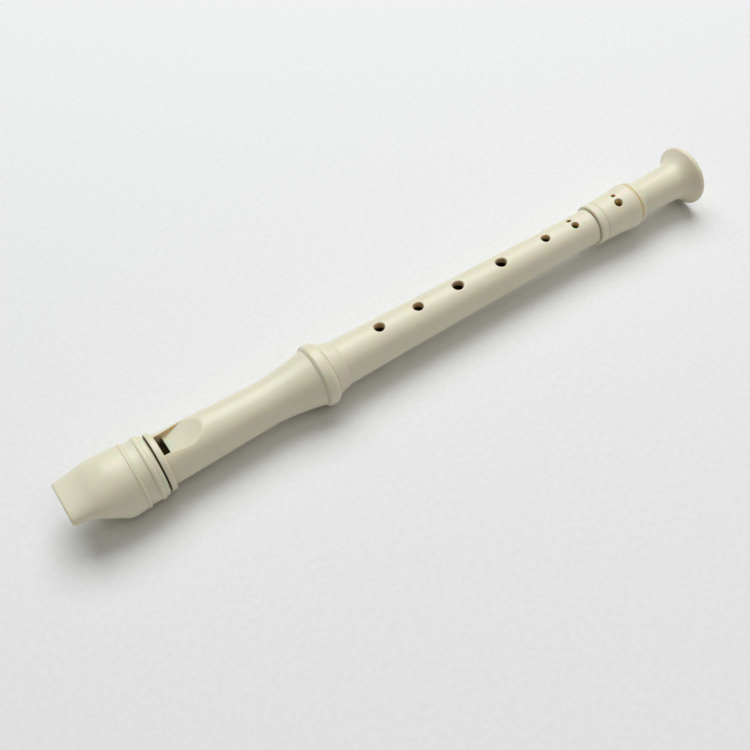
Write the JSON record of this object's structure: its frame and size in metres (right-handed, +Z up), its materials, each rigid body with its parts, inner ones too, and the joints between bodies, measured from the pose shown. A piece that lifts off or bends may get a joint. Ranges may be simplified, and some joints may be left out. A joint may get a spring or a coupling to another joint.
{
  "type": "soprano recorder",
  "caption": "Ivory plastic duct flute with beak mouthpiece, window and ramp, finger and thumb holes, twisting pull-apart tenon joints and a flared bell.",
  "frame": {"origin": "on the surface that the recorder lies on, under the middle of its length", "axes": "+X along the tube from the beak to the bell, +Z up through the window and the finger holes"},
  "size_m": [0.327, 0.03, 0.0299],
  "materials": {
    "ivory_shell": "glossy moulded ivory plastic",
    "ivory_block": "satin moulded ivory plastic",
    "seal_rubber": "matt soft rubber"
  },
  "bodies": {
    "middle": {"middle_tube": "ivory_shell"},
    "head_seal": {"head_seal_ring": "seal_rubber"},
    "head": {"mouthpiece": "ivory_shell", "windway_block": "ivory_block", "head_tube": "ivory_shell"},
    "foot_seal": {"foot_seal_ring": "seal_rubber"},
    "foot": {"foot_joint": "ivory_shell"}
  },
  "joints": [
    {"name": "head_twist", "type": "hinge", "parent": "middle", "child": "head_seal", "pos_m": [-0.0515, 0, 0.01495], "axis": [1, 0, 0], "continuous": true},
    {"name": "head_pull", "type": "slide", "parent": "head_seal", "child": "head", "axis": [-1, 0, 0], "range_m": [0, 0.026]},
    {"name": "foot_twist", "type": "hinge", "parent": "middle", "child": "foot_seal", "pos_m": [0.1096, 0, 0.01495], "axis": [1, 0, 0], "continuous": true},
    {"name": "foot_pull", "type": "slide", "parent": "foot_seal", "child": "foot", "axis": [1, 0, 0], "range_m": [0, 0.018]}
  ]
}
